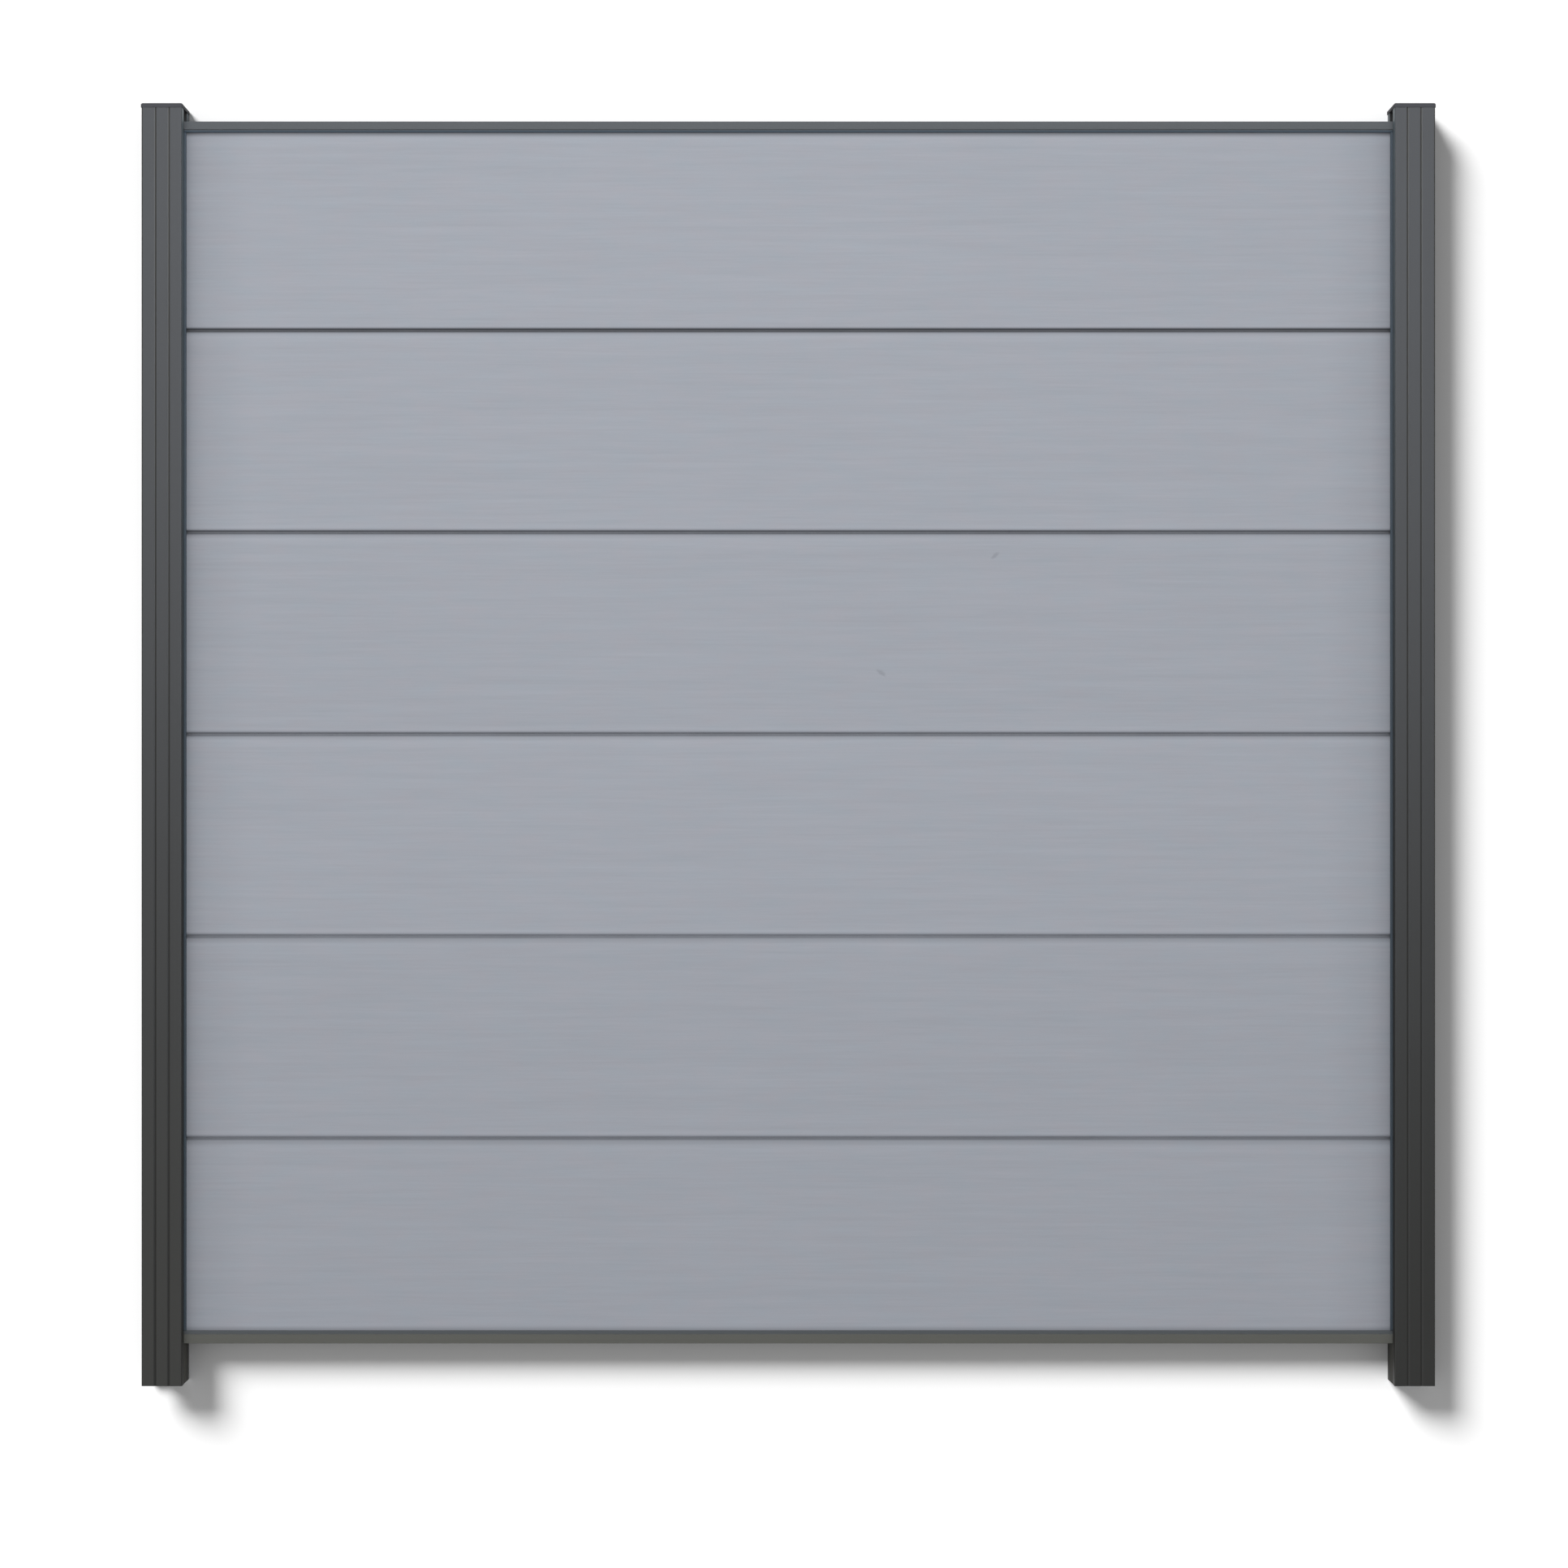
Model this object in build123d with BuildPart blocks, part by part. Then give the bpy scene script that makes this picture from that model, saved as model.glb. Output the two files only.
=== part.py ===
from build123d import *
import os

# One bay of composite fencing, lying flat on its back: two slotted aluminium posts with caps, a rail at the
# foot and a rail at the head, and six hollow composite boards stacked tongue in groove between them.
# +X runs across the bay, +Y up the fence towards the caps, +Z out of the front face. Millimetres.
# The origin is the centre of the footprint, on the surface that the panel lies on.

# Boards
board_length = 1820.0
board_thickness = 20.0
board_count = 6
board_stack_height = 1800.0
board_skin = 4.0
board_rib = 4.0
board_edge_radius = 5.5
chamber_count = 12
chamber_chamfer = 2.0

# Tongue and groove joint between two boards
joint_gap = 2.5
tongue_thickness = 7.0
tongue_height = 9.0
tongue_radius = 0.8
tongue_clearance = 0.3

# Rails
rail_wall = 1.6
rail_step = 1.6
rail_clearance = 0.3
rail_corner_radius = 0.6
rail_end_play = 1.0
top_rail_drop = 1.0
top_lip_height = 4.5
bottom_lip_height = 5.5
bottom_rail_face = 13.5
bottom_rail_base = 5.5

# Posts
post_width = 60.0
post_depth = 60.0
post_wall = 2.0
post_corner_radius = 2.0
slot_depth = 19.0
slot_clearance = 0.3
slot_corner_radius = 0.8
post_chamber_radius = 1.0
face_groove_width = 4.4
face_groove_depth = 0.9
screw_port_bore = 4.5
screw_port_wall = 1.75
screw_port_inset = 5.2

# Fit of the bay
board_expansion_gap = 6.0
bottom_rail_lift = 60.5
post_head_room = 17.9

# Caps
cap_plate = 6.0
cap_overhang = 1.0
cap_bevel = 1.5
cap_spigot_length = 18.0
cap_spigot_wall = 2.0
cap_spigot_clearance = 0.2
cap_spigot_chamfer = 1.0

# Widths across the bay
clear_width = board_length - 2 * (slot_depth - board_expansion_gap)
rail_length = clear_width + 2 * (slot_depth - rail_end_play)
post_x = (clear_width + post_width) / 2

# Heights up the fence, from the posts' feet
board_pitch = board_stack_height / board_count
board_face = board_pitch - joint_gap
groove_depth = tongue_height - joint_gap
board_seat = bottom_rail_lift + bottom_rail_base
stack_top = board_seat + board_stack_height - joint_gap
top_rail_face = tongue_height + rail_wall + top_rail_drop
top_rail_height = stack_top + tongue_height + rail_wall
post_length = top_rail_height + post_head_room
overall_height = post_length + cap_plate
foot_y = -overall_height / 2

# Depths, from the surface that the panel lies on
mid_z = cap_overhang + post_depth / 2
grip_depth = board_thickness + 2 * rail_clearance
lip_depth = grip_depth + 2 * rail_wall
rail_depth = lip_depth + 2 * rail_step
slot_width = rail_depth + 2 * slot_clearance

os.makedirs("parts", exist_ok=True)


def write_piece(piece, name):
    """Label a finished piece and write it to its own file."""
    piece.label = name
    export_step(piece, f"parts/{name}.step")


# Post: an H-shaped hollow extrusion. A slot down each side takes the boards of this bay and of the next one,
# two V grooves run down the front and back faces over the web's walls, and four screw ports fill the corners.
flange_depth = (post_depth - slot_width) / 2
web_width = post_width - 2 * slot_depth
web_wall_x = (web_width - post_wall) / 2
web_chamber_width = web_width - 2 * post_wall
web_chamber_depth = post_depth - 2 * post_wall
corner_chamber_width = slot_depth - post_wall
corner_chamber_depth = flange_depth - 2 * post_wall
corner_chamber_x = (web_width + corner_chamber_width) / 2
corner_chamber_z = (slot_width + flange_depth) / 2
port_x = post_width / 2 - screw_port_inset
port_z = post_depth / 2 - screw_port_inset
port_gusset = screw_port_inset - post_wall
gusset_x = port_x + port_gusset / 2
gusset_z = port_z + port_gusset / 2
face_groove_half = face_groove_width / 2


def make_post(name, centre_x):
    """Build one post, drawn at its top end and extruded down to its foot."""
    top_end = Plane(
        origin=(centre_x, foot_y + post_length, mid_z),
        x_dir=(1, 0, 0),
        z_dir=(0, -1, 0),
    )
    with BuildPart() as post:
        with BuildSketch(top_end) as section:
            Rectangle(post_width, post_depth)
            fillet(section.vertices(), radius=post_corner_radius)
            corners = section.vertices()
            with Locations((-post_width / 2, 0), (post_width / 2, 0)):
                Rectangle(2 * slot_depth, slot_width, mode=Mode.SUBTRACT)
            fillet(section.vertices() - corners, radius=slot_corner_radius)
            with GridLocations(2 * web_wall_x, post_depth, 2, 2):
                Polygon(
                    (-face_groove_half, 0),
                    (0, -face_groove_depth),
                    (face_groove_half, 0),
                    (0, face_groove_depth),
                    mode=Mode.SUBTRACT,
                )
            RectangleRounded(
                web_chamber_width, web_chamber_depth, post_chamber_radius, mode=Mode.SUBTRACT
            )
            with GridLocations(2 * corner_chamber_x, 2 * corner_chamber_z, 2, 2):
                RectangleRounded(
                    corner_chamber_width, corner_chamber_depth, post_chamber_radius, mode=Mode.SUBTRACT
                )
            with GridLocations(2 * port_x, 2 * port_z, 2, 2):
                Circle(screw_port_bore / 2 + screw_port_wall)
            with GridLocations(2 * gusset_x, 2 * gusset_z, 2, 2):
                Rectangle(port_gusset, port_gusset)
            with GridLocations(2 * port_x, 2 * port_z, 2, 2):
                Circle(screw_port_bore / 2, mode=Mode.SUBTRACT)
        extrude(amount=post_length)
    write_piece(post.part, name)


# Post cap: a moulded square plate with a bevelled top edge, and a hollow spigot that plugs the web's chamber.
spigot_width = web_chamber_width - 2 * cap_spigot_clearance
spigot_depth = web_chamber_depth - 2 * cap_spigot_clearance


def make_cap(name, centre_x):
    """Build one cap, seated on the top end of its post."""
    cap_top = Plane(
        origin=(centre_x, foot_y + overall_height, mid_z),
        x_dir=(1, 0, 0),
        z_dir=(0, -1, 0),
    )
    post_end = cap_top.offset(cap_plate)
    with BuildPart() as cap:
        with BuildSketch(cap_top):
            RectangleRounded(
                post_width + 2 * cap_overhang,
                post_depth + 2 * cap_overhang,
                post_corner_radius + cap_overhang,
            )
        extrude(amount=cap_plate)
        chamfer(cap.faces().sort_by(Axis.Y)[-1].edges(), length=cap_bevel)
        with BuildSketch(post_end):
            RectangleRounded(spigot_width, spigot_depth, post_chamber_radius)
        extrude(amount=cap_spigot_length)
        chamfer(cap.faces().sort_by(Axis.Y)[0].edges(), length=cap_spigot_chamfer)
        with BuildSketch(post_end):
            Rectangle(spigot_width - 2 * cap_spigot_wall, spigot_depth - 2 * cap_spigot_wall)
        extrude(amount=cap_spigot_length, mode=Mode.SUBTRACT)
    write_piece(cap.part, name)


# Rails: channels whose two lips step in to grip the boards. Each is drawn at its left end, with local X from
# its closed side to its mouth and local Y across its depth.
def rail_end(height, opens_up):
    """Give the plane of a rail's left end, with its origin in the middle of the closed side."""
    return Plane(
        origin=(-rail_length / 2, foot_y + height, mid_z),
        x_dir=(0, 1 if opens_up else -1, 0),
        z_dir=(1, 0, 0),
    )


def span(start, end, width, mode=Mode.ADD):
    """Draw a rectangle from start to end along local X, centred on it."""
    with Locations(((start + end) / 2, 0)):
        Rectangle(end - start, width, mode=mode)


def channel(section, face_height, lip_height, floor):
    """Draw a channel in a section: a face, two stepped lips, and a mouth that is open down to the floor."""
    lip_end = face_height + lip_height
    span(0, face_height, rail_depth)
    span(0, lip_end, lip_depth)
    fillet(section.vertices(), radius=rail_corner_radius)
    span(floor, face_height - rail_wall, rail_depth - 2 * rail_wall, Mode.SUBTRACT)
    span(floor, lip_end, grip_depth, Mode.SUBTRACT)


# Top rail: its web rests on the top board's tongue.
with BuildPart() as top_rail:
    with BuildSketch(rail_end(top_rail_height, opens_up=False)) as section:
        channel(section, top_rail_face, top_lip_height, rail_wall)
    extrude(amount=rail_length)
write_piece(top_rail.part, "top_rail")

# Bottom rail: a hollow base carries the bottom board, and its upstand stands in that board's groove.
upstand_end = bottom_rail_base + groove_depth - tongue_clearance
with BuildPart() as bottom_rail:
    with BuildSketch(rail_end(bottom_rail_lift, opens_up=True)) as section:
        channel(section, bottom_rail_face, bottom_lip_height, bottom_rail_base)
        span(0, upstand_end, tongue_thickness)
        span(rail_wall, bottom_rail_base - rail_wall, rail_depth - 2 * rail_wall, Mode.SUBTRACT)
        span(rail_wall, upstand_end - rail_wall, tongue_thickness - 2 * rail_wall, Mode.SUBTRACT)
    extrude(amount=rail_length)
write_piece(bottom_rail.part, "bottom_rail")

# Boards: hollow extrusions with a tongue on the upper edge and a groove in the lower one, all alike.
chamber_zone = board_face - groove_depth - 2 * board_skin
chamber_height = (chamber_zone - (chamber_count - 1) * board_rib) / chamber_count
chamber_pitch = chamber_height + board_rib
first_chamber = groove_depth + board_skin + chamber_height / 2
chamber_depth = board_thickness - 2 * board_skin
with BuildSketch() as chamber:
    Rectangle(chamber_height, chamber_depth)
    chamfer(chamber.vertices(), length=chamber_chamfer)


def make_board(name, seat):
    """Build one board, with its lower shoulders at the height of its seat."""
    left_end = Plane(
        origin=(-board_length / 2, foot_y + seat, mid_z),
        x_dir=(0, 1, 0),
        z_dir=(1, 0, 0),
    )
    with BuildPart() as board:
        with BuildSketch(left_end) as section:
            span(0, board_face, board_thickness)
            fillet(section.vertices(), radius=board_edge_radius)
            span(board_face - tongue_height, board_face + tongue_height, tongue_thickness)
            fillet(section.vertices().group_by(Axis.X)[-1], radius=tongue_radius)
            span(-groove_depth, groove_depth, tongue_thickness + 2 * tongue_clearance, Mode.SUBTRACT)
            with Locations(*[(first_chamber + i * chamber_pitch, 0) for i in range(chamber_count)]):
                add(chamber.sketch, mode=Mode.SUBTRACT)
        extrude(amount=board_length)
    write_piece(board.part, name)


for side, centre_x in (("left", -post_x), ("right", post_x)):
    make_post(f"{side}_post", centre_x)
    make_cap(f"{side}_post_cap", centre_x)

for index in range(board_count):
    make_board(f"board_{index + 1}", board_seat + index * board_pitch)
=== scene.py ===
"""Looks for one bay of composite fencing that lies flat on its back.

Two powder coated aluminium posts with moulded caps hold six hollow composite boards between a
head rail and a foot rail. Dark rubber strips in the posts' slots are painted shadow lines, and a
packer closes each slot under the foot rail. +X runs across the bay, +Y up the fence towards the
caps and +Z out of the front face. Metres.
"""

import logging
import math
from dataclasses import dataclass
from enum import Enum
from typing import Sequence

import bmesh
import bpy
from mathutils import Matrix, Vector


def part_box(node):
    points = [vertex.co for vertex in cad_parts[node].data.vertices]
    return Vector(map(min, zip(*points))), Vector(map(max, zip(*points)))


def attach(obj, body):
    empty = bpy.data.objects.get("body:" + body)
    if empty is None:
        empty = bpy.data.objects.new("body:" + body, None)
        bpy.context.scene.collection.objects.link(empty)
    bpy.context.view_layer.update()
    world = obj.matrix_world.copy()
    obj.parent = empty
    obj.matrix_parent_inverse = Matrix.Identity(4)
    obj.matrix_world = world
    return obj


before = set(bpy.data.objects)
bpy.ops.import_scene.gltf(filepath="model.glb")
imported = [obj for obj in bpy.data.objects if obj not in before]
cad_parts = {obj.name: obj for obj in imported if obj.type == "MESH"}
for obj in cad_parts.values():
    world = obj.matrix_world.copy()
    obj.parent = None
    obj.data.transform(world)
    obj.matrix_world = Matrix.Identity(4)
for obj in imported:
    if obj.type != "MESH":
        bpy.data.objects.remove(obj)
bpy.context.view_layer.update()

Socket = bpy.types.NodeSocket
Piece = bpy.types.Object
Colour = tuple[float, float, float]
Place = tuple[float, float, float]
Cell = tuple[float, float, float]
Span = tuple[float, float]

log = logging.getLogger("fence_bay")

NODES: dict[str, Piece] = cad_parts

# Measures of the solids that the looks and the added pieces follow
MM = 0.001
POST_LOW, POST_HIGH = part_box("right_post")
POST_X = (POST_LOW.x + POST_HIGH.x) / 2
CLEAR_HALF = POST_LOW.x
POST_FOOT = POST_LOW.y
FRONT_Z = POST_HIGH.z
MIDDLE_Z = (POST_LOW.z + POST_HIGH.z) / 2
BOARD_LOW, BOARD_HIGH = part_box("board_1")
BOARD_HALF = (BOARD_HIGH.z - BOARD_LOW.z) / 2
TONGUE = 9.0 * MM
BOARD_FACE = BOARD_HIGH.y - BOARD_LOW.y - TONGUE
HEAD_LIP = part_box("top_rail")[0].y
FOOT_RAIL_BASE, FOOT_LIP = (corner.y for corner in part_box("bottom_rail"))


class Run(Enum):
    """The axis that a piece was extruded along."""

    ACROSS = 0
    UP = 1


class Graph:
    """The node tree of one material, grown node by node."""

    def __init__(self, name: str) -> None:
        """Start a material with only its surface shader.

        Args:
            name: The material's name.
        """
        self.material = bpy.data.materials.new(name)
        self.material.use_nodes = True
        self.nodes = self.material.node_tree.nodes
        self.links = self.material.node_tree.links
        self.surface = self.nodes["Principled BSDF"]
        self.place = self.nodes.new("ShaderNodeTexCoord").outputs["Object"]

    def feed(self, socket: Socket, value: "Socket | float | tuple[float, ...]") -> None:
        """Join a socket to another node's output, or set its value.

        Args:
            socket: The input to feed.
            value: The other node's output, or the value.
        """
        if isinstance(value, Socket):
            self.links.new(value, socket)
        else:
            socket.default_value = value

    def add(self, kind: str, feeds: dict, **settings: object) -> bpy.types.Node:
        """Add a node.

        Args:
            kind: The node's type, without its common prefix.
            feeds: What goes into each of its inputs, by name or number.
            **settings: The node's own properties.

        Returns:
            The new node.
        """
        node = self.nodes.new(f"ShaderNode{kind}")
        for key, value in settings.items():
            setattr(node, key, value)
        for key, value in feeds.items():
            self.feed(node.inputs[key], value)
        return node

    def math(self, operation: str, *values: "Socket | float") -> Socket:
        """Combine one, two or three numbers."""
        return self.add("Math", dict(enumerate(values)), operation=operation).outputs[0]

    def times(self, value: Socket, factor: "Socket | float") -> Socket:
        """Multiply a value."""
        return self.math("MULTIPLY", value, factor)

    def distance(self, value: Socket, centre: float) -> Socket:
        """Give how far a value is from a centre."""
        return self.math("ABSOLUTE", self.math("SUBTRACT", value, centre))

    def axes(self, vector: Socket) -> tuple[Socket, Socket, Socket]:
        """Split a vector into its three numbers."""
        node = self.add("SeparateXYZ", {0: vector})
        return node.outputs[0], node.outputs[1], node.outputs[2]

    def length(self, vector: Socket) -> Socket:
        """Give a vector's length."""
        return self.add("VectorMath", {0: vector}, operation="LENGTH").outputs["Value"]

    def noise(self, place: Socket, cell: Cell, detail: float = 2.0, seed: float = 0.0) -> Socket:
        """Make a soft noise.

        Args:
            place: Where it is read.
            cell: The size of one of its cells along each axis, in metres.
            detail: How many finer layers are added.
            seed: Shifts it to another part of the noise.

        Returns:
            The noise, from 0 to 1.
        """
        scaled = self.add("Mapping", {"Vector": place, "Scale": tuple(1 / c for c in cell)})
        feeds = {"Vector": scaled.outputs[0], "W": seed, "Scale": 1.0, "Detail": detail}
        return self.add("TexNoise", feeds, noise_dimensions="4D").outputs[0]

    def about(self, noise: Socket, amount: float) -> Socket:
        """Centre a noise on zero and give it a weight."""
        return self.math("MULTIPLY_ADD", noise, amount, -amount / 2)

    def total(self, *values: "Socket | float") -> Socket:
        """Add up any number of values.

        Args:
            *values: What is added up.

        Returns:
            Their total.
        """
        result = values[0]
        for value in values[1:]:
            result = self.math("ADD", result, value)
        return result

    def ramp(self, value: Socket, low: float, high: float) -> Socket:
        """Turn a value into a smooth step from 0 at low to 1 at high."""
        feeds = {"Value": value, "From Min": low, "From Max": high}
        return self.add("MapRange", feeds, interpolation_type="SMOOTHSTEP").outputs[0]

    def blend(
        self,
        factor: "Socket | float",
        first: "Socket | tuple[float, ...]",
        second: "Socket | tuple[float, ...]",
    ) -> Socket:
        """Mix two colours.

        Args:
            factor: The second colour's share.
            first: The colour where the factor is 0.
            second: The colour where it is 1.

        Returns:
            The mixed colour.
        """
        node = self.add("Mix", {0: factor}, data_type="RGBA")
        self.feed(node.inputs[6], first)
        self.feed(node.inputs[7], second)
        return node.outputs[2]

    def shades(self, factor: Socket, colour: Colour, span: Span) -> Socket:
        """Mix two shades of one colour, the first where the factor is 0."""
        return self.blend(factor, opaque(colour, span[0]), opaque(colour, span[1]))

    def fade(self, factor: Socket, first: "Socket | float", second: "Socket | float") -> Socket:
        """Mix two numbers."""
        return self.add("Mix", {0: factor, 2: first, 3: second}).outputs[0]

    def bump(self, height: Socket, depth: float) -> None:
        """Give the surface its relief.

        Args:
            height: The relief's height, where 1 is its full depth.
            depth: The full depth, in metres.
        """
        node = self.add("Bump", {"Height": height, "Distance": depth, "Strength": 1.0})
        self.links.new(node.outputs[0], self.surface.inputs["Normal"])

    def finish(self, colour: Socket, roughness: "Socket | float", specular: float) -> None:
        """Give the surface its colour and its gloss.

        Args:
            colour: Its colour.
            roughness: Its roughness.
            specular: How strong its gloss is.
        """
        self.feed(self.surface.inputs["Base Color"], colour)
        self.feed(self.surface.inputs["Roughness"], roughness)
        self.surface.inputs["Specular IOR Level"].default_value = specular

    def dress(self, piece: Piece) -> None:
        """Make this the only material of a piece."""
        piece.data.materials.clear()
        piece.data.materials.append(self.material)


def opaque(colour: Colour, shade: float = 1.0) -> tuple[float, float, float, float]:
    """Give a colour socket's value, optionally darker or lighter."""
    return (colour[0] * shade, colour[1] * shade, colour[2] * shade, 1.0)


def put(name: str, data: bpy.types.ID) -> Piece:
    """Make an object and link it to the scene.

    Args:
        name: Its name.
        data: Its mesh, lamp or camera.

    Returns:
        The object.
    """
    thing = bpy.data.objects.new(name, data)
    bpy.context.scene.collection.objects.link(thing)
    return thing


def put_mesh(name: str, grid: bmesh.types.BMesh) -> Piece:
    """Turn a finished grid into an object, and free the grid.

    Args:
        name: The object's name.
        grid: Its shape.

    Returns:
        The object.
    """
    mesh = bpy.data.meshes.new(name)
    grid.to_mesh(mesh)
    grid.free()
    return put(name, mesh)


def bar(name: str, spans: Sequence[Sequence[float]], rounding: float, segments: int = 3) -> Piece:
    """Make a bar that runs up the fence, with its long edges rounded.

    Args:
        name: The bar's name.
        spans: Where it starts and ends along each axis.
        rounding: The radius of its long edges.
        segments: How many flats each rounded edge has.

    Returns:
        The bar.
    """
    size = Vector([high - low for low, high in spans])
    centre = Vector([(low + high) / 2 for low, high in spans])
    grid = bmesh.new()
    bmesh.ops.create_cube(grid, size=1.0)
    bmesh.ops.scale(grid, vec=size, verts=grid.verts)
    bmesh.ops.translate(grid, vec=centre, verts=grid.verts)
    upright = [
        edge for edge in grid.edges if abs(edge.verts[0].co.y - edge.verts[1].co.y) > rounding
    ]
    bmesh.ops.bevel(
        grid,
        geom=upright,
        offset=rounding,
        segments=segments,
        profile=0.5,
        affect="EDGES",
        material=-1,
    )
    return put_mesh(name, grid)


@dataclass(frozen=True)
class Scuff:
    """A short faint mark on a board's face.

    It lies at x and y, turned by its angle, and its depth is how far it darkens the grain.
    """

    x: float
    y: float
    length: float
    width: float
    angle: float
    depth: float


@dataclass(frozen=True)
class BoardLook:
    """What sets one board apart from the others.

    Its tone is how light it is, where 1 is the range's own colour, and its joint tone how light
    its rounded edges and tongue are: painted shade in the joints, set to how the light falls on
    each. It darkens by its head shade, a painted shade, over the head reach, which is measured
    down from its head.
    """

    name: str
    tone: float
    skin: float
    head_shade: float = 0.26
    head_reach: float = 9.0 * MM
    scuffs: tuple[Scuff, ...] = ()

    @property
    def head(self) -> float:
        """The height up the fence where its face ends, at its tongue or under the head rail."""
        return min(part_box(self.name)[1].y - TONGUE, HEAD_LIP)

    @property
    def foot(self) -> float:
        """The height up the fence that is a whole face below its head."""
        return self.head - BOARD_FACE


@dataclass(frozen=True)
class CompositeFinish:
    """Brushed wood and polymer composite, extruded along X.

    Broad bands, streaks and fine brushing run along it and wander a little up and down. Mottling
    and flecks lie over them, and the hue drifts between a cool and a warm one. Painted shade
    darkens the face by the posts, the rails and each board's head, and a painted highlight
    lightens it by the joints. A reach is measured inwards from there. The rounded edges and the
    tongue are smoother, and darker as painted shade in the joints.
    """

    colour: Colour = (0.352, 0.371, 0.417)
    cool: Colour = (0.333, 0.374, 0.425)
    warm: Colour = (0.371, 0.368, 0.409)
    brushed_shades: Span = (0.80, 1.20)
    painted_joint_spread: Span = (0.85, 1.15)

    wander_cell: Cell = (0.35, 0.05, 0.05)
    wander_reach: float = 0.006
    broad_cell: Cell = (0.34, 0.009, 0.009)
    streak_cell: Cell = (0.12, 0.0032, 0.0032)
    brush_cell: Cell = (0.028, 0.00055, 0.00055)
    mottle_cell: Cell = (0.11, 0.07, 0.07)
    tinge_cell: Cell = (0.045, 0.018, 0.018)
    fleck_cell: Cell = (0.0035, 0.0009, 0.0009)
    fleck_range: Span = (0.66, 0.78)

    broad_contrast: float = 0.30
    streak_contrast: float = 0.27
    brush_contrast: float = 0.27
    mottle_contrast: float = 0.10
    fleck_contrast: float = 0.10

    roughness: float = 0.58
    skin_roughness: float = 0.42
    brush_roughness: float = 0.22
    mottle_roughness: float = 0.08
    specular: float = 0.4
    brush_depth: float = 0.00004
    streak_relief: float = 0.8
    broad_relief: float = 1.2
    edge_fall: float = 2.8 * MM

    end_shade: float = 0.11
    end_reach: Span = (0.11, 0.01)
    post_shade: float = 0.12
    post_reach: float = 0.036
    foot_shade: float = 0.25
    foot_reach: float = 0.008
    painted_highlight: float = 0.035
    head_highlight_reach: Span = (24.0 * MM, 10.0 * MM)
    foot_highlight_reach: Span = (14.0 * MM, 6.0 * MM)

    scuff_cell: Cell = (0.003, 0.0015, 0.0015)
    scuff_raggedness: float = 1.1
    scuff_fade: Span = (0.35, 1.1)
    scuff_thickness: float = 0.01

    def material(self, look: BoardLook) -> Graph:
        """Build the finish of one board.

        Args:
            look: What sets this board apart from the others.

        Returns:
            The material's graph.
        """
        g = Graph(f"{look.name}_composite")
        place = self.wandering(g)
        broad = g.noise(place, self.broad_cell, detail=3.0, seed=1.0)
        streak = g.noise(place, self.streak_cell, seed=2.0)
        brush = g.noise(place, self.brush_cell, seed=4.0)
        mottle = g.noise(g.place, self.mottle_cell, detail=3.0, seed=5.0)
        fleck = g.noise(g.place, self.fleck_cell, detail=1.0, seed=6.0)
        grain = g.total(
            g.about(broad, self.broad_contrast),
            g.about(streak, self.streak_contrast),
            g.about(brush, self.brush_contrast),
            g.about(mottle, self.mottle_contrast),
        )
        flecks = g.times(g.ramp(fleck, *self.fleck_range), -self.fleck_contrast)
        scuffs = [self.scuffing(g, scuff) for scuff in look.scuffs]
        lightness = g.total(0.5, grain, flecks, *scuffs)

        face = g.ramp(
            g.distance(g.axes(g.place)[2], MIDDLE_Z), BOARD_HALF - self.edge_fall, BOARD_HALF
        )
        # Painted shade in the joints: the rounded edges and tongue take a darker tone, set board by
        # board to how the light falls in each joint.
        painted_joint_spread = tuple(look.skin * shade for shade in self.painted_joint_spread)
        painted_joint = g.shades(mottle, self.colour, painted_joint_spread)
        bare = g.blend(face, painted_joint, self.brushed(g, look, lightness))
        # Painted shade by the posts, rails and heads and a painted highlight by the joints scale
        # the colour.
        with_painted_light = g.add("VectorMath", {0: bare, "Scale": self.painted_shade_and_highlight(g, look)}, operation="SCALE")
        rough = g.total(
            self.roughness,
            g.about(brush, self.brush_roughness),
            g.about(mottle, self.mottle_roughness),
        )
        g.finish(with_painted_light.outputs[0], g.fade(face, self.skin_roughness, rough), self.specular)
        relief = g.total(
            brush, g.times(streak, self.streak_relief), g.times(broad, self.broad_relief)
        )
        g.bump(g.times(relief, face), self.brush_depth)
        return g

    def wandering(self, g: Graph) -> Socket:
        """Let the grain's place wander slowly up and down along the board.

        Args:
            g: The material's graph.

        Returns:
            The place, moved.
        """
        wander = g.noise(g.place, self.wander_cell, detail=1.0, seed=3.0)
        drift = g.add("CombineXYZ", {1: g.about(wander, self.wander_reach)}).outputs[0]
        return g.add("VectorMath", {0: g.place, 1: drift}, operation="ADD").outputs[0]

    def brushed(self, g: Graph, look: BoardLook, lightness: Socket) -> Socket:
        """Colour the brushed face.

        Args:
            g: The material's graph.
            look: What sets this board apart from the others.
            lightness: How light the grain is, from 0 to 1.

        Returns:
            The colour.
        """
        tinge = g.noise(g.place, self.tinge_cell, detail=3.0, seed=8.0)
        dark, light = (
            g.blend(
                tinge,
                opaque(self.cool, look.tone * shade),
                opaque(self.warm, look.tone * shade),
            )
            for shade in self.brushed_shades
        )
        return g.blend(lightness, dark, light)

    def painted_shade_and_highlight(self, g: Graph, look: BoardLook) -> Socket:
        """Find the painted shade by the posts, rails and heads, and painted highlight by joints.

        Args:
            g: The material's graph.
            look: What sets this board apart from the others.

        Returns:
            The factor on its lightness, which is 1 away from them.
        """
        x, y, _ = g.axes(g.place)
        side = g.math("ABSOLUTE", x)
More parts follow.
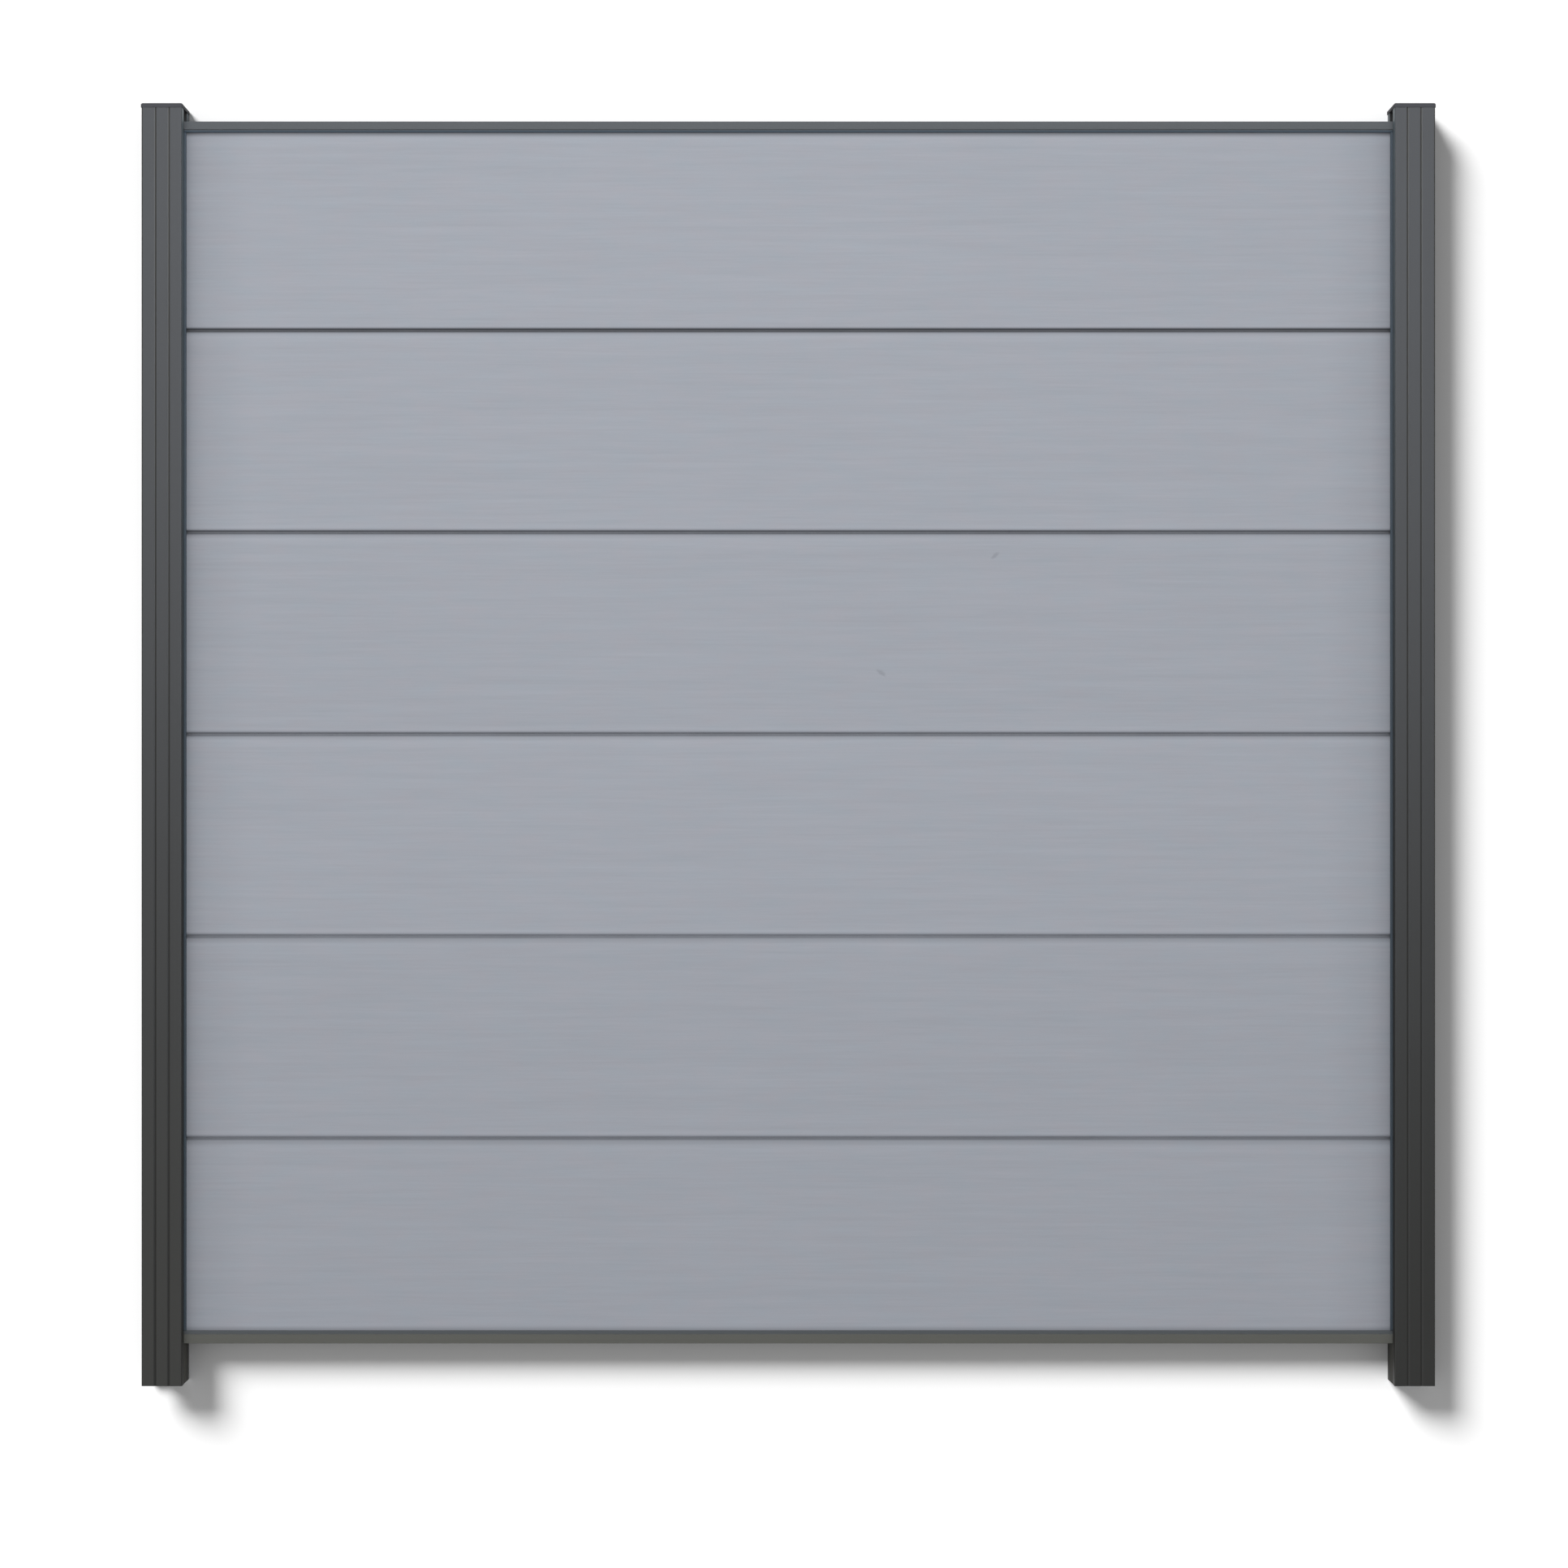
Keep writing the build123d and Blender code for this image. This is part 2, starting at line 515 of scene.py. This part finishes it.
        # Painted shade beside the posts and rails and under each head; painted highlight inside
        # each joint.
        bands = (
            (side, CLEAR_HALF - self.end_reach[0], CLEAR_HALF - self.end_reach[1], -self.end_shade),
            (side, CLEAR_HALF - self.post_reach, CLEAR_HALF, -self.post_shade),
            (y, look.head - look.head_reach, look.head, -look.head_shade),
            (y, FOOT_LIP + self.foot_reach, FOOT_LIP, -self.foot_shade),
            (y, look.head - self.head_highlight_reach[0], look.head - self.head_highlight_reach[1], self.painted_highlight),
            (y, look.foot + self.foot_highlight_reach[0], look.foot + self.foot_highlight_reach[1], self.painted_highlight),
        )
        return g.total(1.0, *(g.times(g.ramp(at, low, high), by) for at, low, high, by in bands))

    def scuffing(self, g: Graph, scuff: Scuff) -> Socket:
        """Find how much one mark darkens the face.

        Args:
            g: The material's graph.
            scuff: The mark.

        Returns:
            The change in lightness, a negative number.
        """
        feeds = {
            "Vector": g.place,
            "Location": (scuff.x, scuff.y, MIDDLE_Z + BOARD_HALF),
            "Rotation": (0.0, 0.0, scuff.angle),
            "Scale": (scuff.length / 2, scuff.width / 2, self.scuff_thickness),
        }
        local = g.add("Mapping", feeds, vector_type="TEXTURE").outputs[0]
        patch = g.noise(g.place, self.scuff_cell, seed=7.0)
        ragged = g.total(g.length(local), g.about(patch, self.scuff_raggedness))
        inside = g.math("SUBTRACT", 1.0, g.ramp(ragged, *self.scuff_fade))
        return g.times(inside, -scuff.depth)


@dataclass(frozen=True)
class PostSection:
    """Where the parts of a post's section lie, measured from the post's axis."""

    chamber_reach: float = 28.2 * MM
    web_inside: float = 9.2 * MM
    flange_inside: float = 15.6 * MM
    groove_side: float = 13.0 * MM
    groove_depth: Span = (30.0 * MM, 29.2 * MM)
    flange_start: float = 14.0 * MM
    side_slack: float = 0.6 * MM

    def offsets(self, g: Graph) -> tuple[Socket, Socket]:
        """Give how far a point is from its post's axis, across the bay and in depth."""
        x, _, z = g.axes(g.place)
        return g.distance(g.math("ABSOLUTE", x), POST_X), g.distance(z, MIDDLE_Z)

    def chambers(self, g: Graph) -> Socket:
        """Mask the walls of the chambers.

        Args:
            g: The material's graph.

        Returns:
            1 on them, and 0 elsewhere.
        """
        across, deep = self.offsets(g)
        within = g.math("LESS_THAN", g.math("MAXIMUM", across, deep), self.chamber_reach)
        in_web = g.math("LESS_THAN", across, self.web_inside)
        in_corner = g.math("GREATER_THAN", deep, self.flange_inside)
        return g.times(within, g.math("MAXIMUM", in_web, in_corner))

    def grooves(self, g: Graph) -> Socket:
        """Mask the V grooves down the front and back.

        Args:
            g: The material's graph.

        Returns:
            1 at their bottom, and 0 on the faces.
        """
        across, deep = self.offsets(g)
        near = g.math("LESS_THAN", across, self.groove_side)
        return g.times(near, g.ramp(deep, *self.groove_depth))

    def inner_sides(self, g: Graph) -> Socket:
        """Mask the sides of the flanges that face the boards.

        Args:
            g: The material's graph.

        Returns:
            1 on them, and 0 elsewhere.
        """
        x, _, z = g.axes(g.place)
        inward = g.math("LESS_THAN", g.math("ABSOLUTE", x), CLEAR_HALF + self.side_slack)
        return g.times(inward, g.math("GREATER_THAN", g.distance(z, MIDDLE_Z), self.flange_start))


@dataclass(frozen=True)
class PowderCoat:
    """Fine textured powder coat on an aluminium extrusion, bare where it was sawn.

    On a post, the V grooves and inner sides carry painted shade towards the foot and a painted
    bluish sheen towards the head. On a rail, the lips carry a painted shadow line.
    """

    colour: Colour
    roughness: float
    specular: float
    run: Run
    coat_shades: Span = (0.85, 1.15)
    shadow_line: Colour = (0.050, 0.068, 0.086)
    shadow_line_shades: Span = (0.9, 1.1)
    groove_shade_and_sheen: Span = (0.65, 2.2)
    side_shade: float = 0.8
    painted_sheen: Colour = (0.094, 0.115, 0.126)
    shade_to_sheen_rise: Span = (-0.35, 1.1)

    die_length: float = 0.7
    die_pitch: float = 0.0021
    texture_cell: Cell = (0.0011, 0.0011, 0.0011)
    peel_cell: Cell = (0.006, 0.006, 0.006)
    cloud_cell: Cell = (0.16, 0.16, 0.16)
    die_contrast: float = 0.5
    texture_contrast: float = 0.5
    cloud_contrast: float = 0.4
    texture_roughness: float = 0.10
    cloud_roughness: float = 0.05
    peel_relief: float = 1.5
    die_relief: float = 0.7
    relief_depth: float = 0.00003

    metal: Colour = (0.70, 0.71, 0.72)
    metal_shades: Span = (0.72, 1.0)
    metal_roughness: float = 0.36
    saw_roughness: float = 0.2
    saw_relief: float = 1.2
    saw_cell: Cell = (0.0007, 1.0, 1.0)
    saw_hub: Place = (1.05, 0.0, -0.14)
    sawn_facing: Span = (0.60, 0.70)

    def material(
        self, name: str, section: "PostSection | None" = None, lip: "Span | None" = None
    ) -> Graph:
        """Build the coating.

        Args:
            name: The material's name.
            section: A post's section, whose chambers stay uncoated.
            lip: The heights up the fence between which a rail's lips carry a painted shadow line.

        Returns:
            The material's graph.
        """
        g = Graph(name)
        die_lines = g.noise(g.place, self.die_cell, seed=1.0)
        texture = g.noise(g.place, self.texture_cell, seed=2.0)
        peel = g.noise(g.place, self.peel_cell, seed=3.0)
        cloud = g.noise(g.place, self.cloud_cell, seed=4.0)
        saw = self.saw_marks(g)
        bare = self.bare(g, section)

        shade = g.total(
            0.5,
            g.about(die_lines, self.die_contrast),
            g.about(texture, self.texture_contrast),
            g.about(cloud, self.cloud_contrast),
        )
        coat = g.shades(shade, self.colour, self.coat_shades)
        if section:
            coat = self.with_painted_light(g, coat, section)
        # Painted shadow: between the lip heights a rail's coat turns dark bluish, where the shade
        # line by the rail falls.
        if lip:
            shadow_line = g.shades(texture, self.shadow_line, self.shadow_line_shades)
            coat = g.blend(self.within(g, lip), coat, shadow_line)
        colour = g.blend(bare, coat, g.shades(saw, self.metal, self.metal_shades))

        matt = g.total(
            self.roughness,
            g.about(texture, self.texture_roughness),
            g.about(cloud, self.cloud_roughness),
        )
        bright = g.total(self.metal_roughness, g.about(saw, self.saw_roughness))
        g.finish(colour, g.fade(bare, matt, bright), self.specular)
        g.feed(g.surface.inputs["Metallic"], bare)
        relief = g.total(
            texture, g.times(peel, self.peel_relief), g.times(die_lines, self.die_relief)
        )
        g.bump(g.fade(bare, relief, g.times(saw, self.saw_relief)), self.relief_depth)
        return g

    @property
    def die_cell(self) -> Cell:
        """The cell of the lines that the die leaves, long along the extrusion."""
        long, fine = self.die_length, self.die_pitch
        return (long, fine, fine) if self.run is Run.ACROSS else (fine, long, fine)

    def bare(self, g: Graph, section: "PostSection | None") -> Socket:
        """Mask the sawn ends and the walls of the chambers.

        Args:
            g: The material's graph.
            section: A post's section, whose chambers stay uncoated.

        Returns:
            1 on bare metal, and 0 on the coating.
        """
        normal = g.nodes.new("ShaderNodeTexCoord").outputs["Normal"]
        facing = g.math("ABSOLUTE", g.axes(normal)[self.run.value])
        sawn = g.ramp(facing, *self.sawn_facing)
        return g.math("MAXIMUM", sawn, section.chambers(g)) if section else sawn

    def with_painted_light(self, g: Graph, coat: Socket, section: PostSection) -> Socket:
        """Lay painted shade and a painted sheen in a post's grooves and on its inner sides.

        Args:
            g: The material's graph.
            coat: The coat's colour.
            section: The post's section.

        Returns:
            The colour with the painted shade and sheen on it.
        """
        # Painted shade darkens the grooves and inner sides towards the foot, and a painted bluish
        # sheen lightens them towards the head.
        risen = g.ramp(g.axes(g.place)[1], *self.shade_to_sheen_rise)
        groove = g.shades(risen, self.colour, self.groove_shade_and_sheen)
        side = g.blend(risen, opaque(self.colour, self.side_shade), opaque(self.painted_sheen))
        coat = g.blend(section.grooves(g), coat, groove)
        return g.blend(section.inner_sides(g), coat, side)

    def within(self, g: Graph, lip: Span) -> Socket:
        """Give 1 between two heights up the fence, and 0 elsewhere."""
        height = g.axes(g.place)[1]
        return g.times(g.math("GREATER_THAN", height, lip[0]), g.math("LESS_THAN", height, lip[1]))

    def saw_marks(self, g: Graph) -> Socket:
        """Draw the shallow arcs that a saw blade leaves on a cut end.

        Args:
            g: The material's graph.

        Returns:
            The marks, from 0 to 1.
        """
        blade = g.add("VectorMath", {0: g.place, 1: self.saw_hub}, operation="SUBTRACT")
        arcs = g.add("CombineXYZ", {0: g.length(blade.outputs[0])}).outputs[0]
        return g.noise(arcs, self.saw_cell, detail=3.0, seed=5.0)


@dataclass(frozen=True)
class MouldedPlastic:
    """Spark eroded matt plastic, as moulded."""

    colour: Colour = (0.050, 0.050, 0.055)
    shades: Span = (0.85, 1.15)
    roughness: float = 0.7
    specular: float = 0.10
    spark_cell: Cell = (0.0006, 0.0006, 0.0006)
    spark_contrast: float = 0.6
    spark_roughness: float = 0.16
    spark_depth: float = 0.00003
    flow_cell: Cell = (0.03, 0.03, 0.03)
    flow_contrast: float = 0.4
    flow_roughness: float = 0.08

    def material(self, name: str) -> Graph:
        """Build the finish.

        Args:
            name: The material's name.

        Returns:
            The material's graph.
        """
        g = Graph(name)
        spark = g.noise(g.place, self.spark_cell, seed=1.0)
        flow = g.noise(g.place, self.flow_cell, seed=2.0)
        shade = g.total(
            0.5, g.about(spark, self.spark_contrast), g.about(flow, self.flow_contrast)
        )
        rough = g.total(
            self.roughness,
            g.about(spark, self.spark_roughness),
            g.about(flow, self.flow_roughness),
        )
        g.finish(g.shades(shade, self.colour, self.shades), rough, self.specular)
        g.bump(spark, self.spark_depth)
        return g


@dataclass(frozen=True)
class ShadowLineRubber:
    """Dark bluish rubber whose colour is painted shade, for the painted shadow lines."""

    colour: Colour = (0.046, 0.064, 0.080)
    shades: Span = (0.8, 1.2)
    roughness: float = 0.62
    specular: float = 0.12
    bloom_cell: Cell = (0.004, 0.06, 0.004)
    bloom_roughness: float = 0.15
    pull_cell: Cell = (0.0006, 0.02, 0.0006)
    pull_roughness: float = 0.1
    pull_depth: float = 0.00002

    def material(self, name: str) -> Graph:
        """Build the finish.

        Args:
            name: The material's name.

        Returns:
            The material's graph.
        """
        g = Graph(name)
        bloom = g.noise(g.place, self.bloom_cell, detail=3.0, seed=1.0)
        pull = g.noise(g.place, self.pull_cell, seed=2.0)
        rough = g.total(
            self.roughness,
            g.about(bloom, self.bloom_roughness),
            g.about(pull, self.pull_roughness),
        )
        g.finish(g.shades(bloom, self.colour, self.shades), rough, self.specular)
        g.bump(pull, self.pull_depth)
        return g


POST_COAT = PowderCoat(
    colour=(0.0258, 0.0256, 0.0228),
    roughness=0.45,
    specular=0.12,
    run=Run.UP,
)
# The head and foot rails carry one coat: the head copy is tinted bluer and the foot copy warmer,
# painted to follow the tint of the light on each. The foot copy's shadow line is lighter, painted
# for the lit edge over the foot rail.
HEAD_RAIL_COAT = PowderCoat(
    colour=(0.105, 0.113, 0.120),
    roughness=0.6,
    specular=0.04,
    run=Run.ACROSS,
)
FOOT_RAIL_COAT = PowderCoat(
    colour=(0.118, 0.120, 0.108),
    roughness=0.6,
    specular=0.04,
    run=Run.ACROSS,
    shadow_line=(0.094, 0.103, 0.111),
)
PACKER_PLASTIC = MouldedPlastic(colour=(0.047, 0.046, 0.040))


@dataclass
class Boards:
    """The six boards, counted from the foot rail."""

    finish: CompositeFinish = CompositeFinish()
    looks: tuple[BoardLook, ...] = (
        BoardLook("board_1", tone=0.990, skin=0.92, head_shade=0.30, head_reach=13.0 * MM),
        BoardLook("board_2", tone=0.982, skin=1.06, head_shade=0.30, head_reach=11.0 * MM),
        BoardLook("board_3", tone=1.008, skin=0.90),
        BoardLook(
            "board_4",
            tone=0.988,
            skin=0.70,
            scuffs=(
                Scuff(0.307, 0.281, 0.017, 0.007, math.radians(38), 0.42),
                Scuff(0.138, 0.107, 0.019, 0.008, math.radians(-35), 0.42),
            ),
        ),
        BoardLook("board_5", tone=1.0, skin=0.47),
        BoardLook("board_6", tone=1.006, skin=0.31, head_shade=0.60, head_reach=8.0 * MM),
    )

    def build(self) -> list[Piece]:
        """Dress every board in its own length of the finish.

        Returns:
            The pieces dressed.
        """
        for look in self.looks:
            self.finish.material(look).dress(NODES[look.name])
        return [NODES[look.name] for look in self.looks]


@dataclass
class Posts:
    """The two slotted posts."""

    coat: PowderCoat = POST_COAT
    section: PostSection = PostSection()
    names: tuple[str, ...] = ("left_post", "right_post")

    def build(self) -> list[Piece]:
        """Dress both posts.

        Returns:
            The pieces dressed.
        """
        coating = self.coat.material("post_coating", section=self.section)
        for name in self.names:
            coating.dress(NODES[name])
        return [NODES[name] for name in self.names]


@dataclass(frozen=True)
class RailLook:
    """A rail's coat, and the heights up the fence between which its lips carry a painted shadow
    line.
    """

    name: str
    coat: PowderCoat
    lip: Span


@dataclass
class Rails:
    """The head rail and the foot rail."""

    looks: tuple[RailLook, ...] = (
        RailLook("top_rail", HEAD_RAIL_COAT, (HEAD_LIP - 0.4 * MM, HEAD_LIP + 3.3 * MM)),
        RailLook("bottom_rail", FOOT_RAIL_COAT, (FOOT_LIP - 5.3 * MM, FOOT_LIP + 0.5 * MM)),
    )

    def build(self) -> list[Piece]:
        """Dress both rails.

        Returns:
            The pieces dressed.
        """
        for look in self.looks:
            look.coat.material(f"{look.name}_coating", lip=look.lip).dress(NODES[look.name])
        return [NODES[look.name] for look in self.looks]


@dataclass
class Caps:
    """The two moulded post caps."""

    finish: MouldedPlastic = MouldedPlastic()
    names: tuple[str, ...] = ("left_post_cap", "right_post_cap")

    def build(self) -> list[Piece]:
        """Dress both caps.

        Returns:
            The pieces dressed.
        """
        plastic = self.finish.material("cap_plastic")
        for name in self.names:
            plastic.dress(NODES[name])
        return [NODES[name] for name in self.names]


@dataclass
class ShadowLines:
    """Dark strips in each post's slot, in front of and behind the boards, as painted shadow lines.

    Their reach is measured from the middle of the bay and their stand from the boards' middle.
    """

    finish: ShadowLineRubber = ShadowLineRubber()
    reach: Span = (CLEAR_HALF - 3.3 * MM, CLEAR_HALF + 4.0 * MM)
    rise: Span = (FOOT_LIP + 0.6 * MM, HEAD_LIP - 0.4 * MM)
    stand: Span = (BOARD_HALF + 0.05 * MM, BOARD_HALF + 3.75 * MM)
    rounding: float = 0.7 * MM

    def build(self) -> list[Piece]:
        """Lay the four strips.

        Returns:
            The strips.
        """
        # Painted shadow: dark bluish strips laid where the shade line between posts and boards
        # falls.
        rubber = self.finish.material("shadow_line_rubber")
        strips = []
        for side, across in (("left", -1), ("right", 1)):
            for face, out in (("front", 1), ("back", -1)):
                spans = (
                    sorted(across * x for x in self.reach),
                    self.rise,
                    sorted(MIDDLE_Z + out * z for z in self.stand),
                )
                strip = bar(f"{side}_{face}_seal", spans, self.rounding)
                rubber.dress(strip)
                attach(strip, "root")
                strips.append(strip)
        return strips


@dataclass
class Packers:
    """The two blocks that close the posts' slots under the foot rail and carry it."""

    finish: MouldedPlastic = PACKER_PLASTIC
    reach: Span = (CLEAR_HALF + 0.1 * MM, CLEAR_HALF + 18.2 * MM)
    rise: Span = (POST_FOOT + 0.3 * MM, FOOT_RAIL_BASE - 0.3 * MM)
    stand: Span = (MIDDLE_Z - 13.5 * MM, MIDDLE_Z + 13.5 * MM)
    rounding: float = 0.8 * MM

    def build(self) -> list[Piece]:
        """Set one block in each post's slot.

        Returns:
            The blocks.
        """
        plastic = self.finish.material("packer_plastic")
        blocks = []
        for side, across in (("left", -1), ("right", 1)):
            spans = (sorted(across * x for x in self.reach), self.rise, self.stand)
            block = bar(f"{side}_packer", spans, self.rounding)
            plastic.dress(block)
            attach(block, "root")
            blocks.append(block)
        return blocks


@dataclass(frozen=True)
class SoftBox:
    """A lamp with a wide face, its width and height in metres and its radiance even all over."""

    name: str
    place: Place
    size: Span
    radiance: float
    tint: Colour


@dataclass
class Studio:
    """A pale floor, a soft white room and the lamps."""

    floor_reach: float = 150.0
    floor_colour: Colour = (0.88, 0.88, 0.88)
    floor_shades: Span = (0.99, 1.01)
    floor_cell: Cell = (0.4, 0.4, 0.4)
    floor_roughness: float = 0.9
    room_light: float = 0.358
    ceiling_radiance: float = 1.50
    ceiling_size: float = 6.0
    ceiling_place: Place = (-0.40, 1.8, 3.6)
    soft_boxes: tuple[SoftBox, ...] = (
        SoftBox(
            "head_light",
            place=(0.0, 1.62, 3.0),
            size=(4.6, 3.32),
            radiance=13.2,
            tint=(0.80, 0.86, 1.0),
        ),
        SoftBox(
            "side_light",
            place=(-1.79, -1.62, 3.0),
            size=(1.3, 1.3),
            radiance=7.0,
            tint=(1.0, 1.0, 0.95),
        ),
    )
    key_strength: float = 5.05
    key_place: Place = (-2.0, 2.0, 4.0)
    key_towards: Place = (0.99, -1.18, -1.0)
    key_angle: float = math.radians(25)

    def build(self, pieces: list[Piece]) -> None:
        """Set up everything round the object.

        Args:
            pieces: All the pieces of the bay.
        """
        floor = self.floor()
        self.room()
        self.ceiling(self.group("lit_fence", pieces))
        trim = [piece for piece in pieces if not piece.name.startswith("board")]
        gloss = self.group("lit_trim", trim)
        for box in self.soft_boxes:
            self.hang(box, gloss)
        self.key(self.group("lit_floor", [floor]))

    def group(self, name: str, members: list[Piece]) -> bpy.types.Collection:
        """Gather the objects that one lamp lights.

        Args:
            name: The group's name.
            members: The objects.

        Returns:
            The group.
        """
        lit = bpy.data.collections.new(name)
        for member in members:
            lit.objects.link(member)
        return lit

    def floor(self) -> Piece:
        """Lay the floor that the object lies on.

        Returns:
            The floor.
        """
        grid = bmesh.new()
        bmesh.ops.create_grid(grid, x_segments=1, y_segments=1, size=self.floor_reach)
        floor = put_mesh("floor", grid)
        g = Graph("floor")
        cloud = g.noise(g.place, self.floor_cell)
        shade = g.shades(cloud, self.floor_colour, self.floor_shades)
        g.finish(shade, self.floor_roughness, specular=0.0)
        g.dress(floor)
        return floor

    def room(self) -> None:
        """Fill the room with soft light, and show it white behind the object and in its gloss."""
        world = bpy.data.worlds.new("room")
        world.use_nodes = True
        bpy.context.scene.world = world
        nodes, links = world.node_tree.nodes, world.node_tree.links
        path = nodes.new("ShaderNodeLightPath")
        seen = path.outputs["Is Camera Ray"]
        for name in ("Is Glossy Ray", "Is Transmission Ray"):
            either = nodes.new("ShaderNodeMath")
            either.operation = "MAXIMUM"
            links.new(seen, either.inputs[0])
            links.new(path.outputs[name], either.inputs[1])
            seen = either.outputs[0]
        strength = nodes.new("ShaderNodeMapRange")
        links.new(seen, strength.inputs["Value"])
        strength.inputs["To Min"].default_value = self.room_light
        strength.inputs["To Max"].default_value = 1.0
        background = nodes["Background"]
        background.inputs["Color"].default_value = (1.0, 1.0, 1.0, 1.0)
        links.new(strength.outputs[0], background.inputs["Strength"])

    def lamp(
        self, name: str, kind: str, place: Place, towards: Vector, lit: bpy.types.Collection
    ) -> Piece:
        """Make a lamp that lights one group of objects.

        Args:
            name: The lamp's name.
            kind: Its type, AREA or SUN.
            place: Where it stands.
            towards: The direction that it shines in.
            lit: What it lights.

        Returns:
            The lamp.
        """
        lamp = put(name, bpy.data.lights.new(name, kind))
        lamp.location = place
        lamp.rotation_euler = towards.to_track_quat("-Z", "Y").to_euler()
        lamp.visible_camera = False
        lamp.light_linking.receiver_collection = lit
        return lamp

    def ceiling(self, lit: bpy.types.Collection) -> None:
        """Hang a wide soft ceiling of light over the object, which shows in no gloss.

        Args:
            lit: What it lights.
        """
        lamp = self.lamp("ceiling", "AREA", self.ceiling_place, Vector((0, 0, -1)), lit)
        lamp.data.size = self.ceiling_size
        lamp.data.energy = self.ceiling_radiance * math.pi * self.ceiling_size**2
        lamp.visible_glossy = False

    def hang(self, box: SoftBox, lit: bpy.types.Collection) -> None:
        """Hang a soft box, turned to the middle of the bay, that gives only the sheen.

        Args:
            box: The soft box.
            lit: What it lights.
        """
        lamp = self.lamp(box.name, "AREA", box.place, -Vector(box.place), lit)
        lamp.data.shape = "RECTANGLE"
        lamp.data.size, lamp.data.size_y = box.size
        lamp.data.energy = box.radiance * math.pi * box.size[0] * box.size[1]
        lamp.data.color = box.tint
        lamp.visible_diffuse = False

    def key(self, lit: bpy.types.Collection) -> None:
        """Throw the object's soft shadow on the floor, down and to the right.

        Args:
            lit: What it lights.
        """
        lamp = self.lamp("key", "SUN", self.key_place, Vector(self.key_towards), lit)
        lamp.data.energy = self.key_strength
        lamp.data.angle = self.key_angle


@dataclass
class Viewpoint:
    """The photograph's camera: straight down, five metres above the front face."""

    place: Place = (-0.0064, -0.05825, FRONT_Z + 5.0)
    lens: float = 77.606
    sensor: float = 36.0

    def build(self) -> None:
        """Make the camera and look through it."""
        camera = put("camera", bpy.data.cameras.new("camera"))
        camera.location = self.place
        camera.data.lens = self.lens
        camera.data.sensor_width = self.sensor
        bpy.context.scene.camera = camera


def extent(piece: Piece) -> str:
    """Write out a piece's size along each axis, in millimetres."""
    spans = [[vertex.co[axis] for vertex in piece.data.vertices] for axis in range(3)]
    return ", ".join(f"{(max(span) - min(span)) / MM:.1f}" for span in spans)


def main() -> None:
    """Dress the fence bay, light it and report each piece."""
    logging.basicConfig(level=logging.INFO, format="%(message)s")
    Viewpoint().build()
    pieces = []
    for assembly in (Boards(), Posts(), Rails(), Caps(), ShadowLines(), Packers()):
        for piece in assembly.build():
            log.info("%s: %s, %s mm", type(assembly).__name__, piece.name, extent(piece))
            pieces.append(piece)
    Studio().build(pieces)

    scene = bpy.context.scene
    scene.view_settings.view_transform = "Standard"


if __name__ == "__main__":
    main()
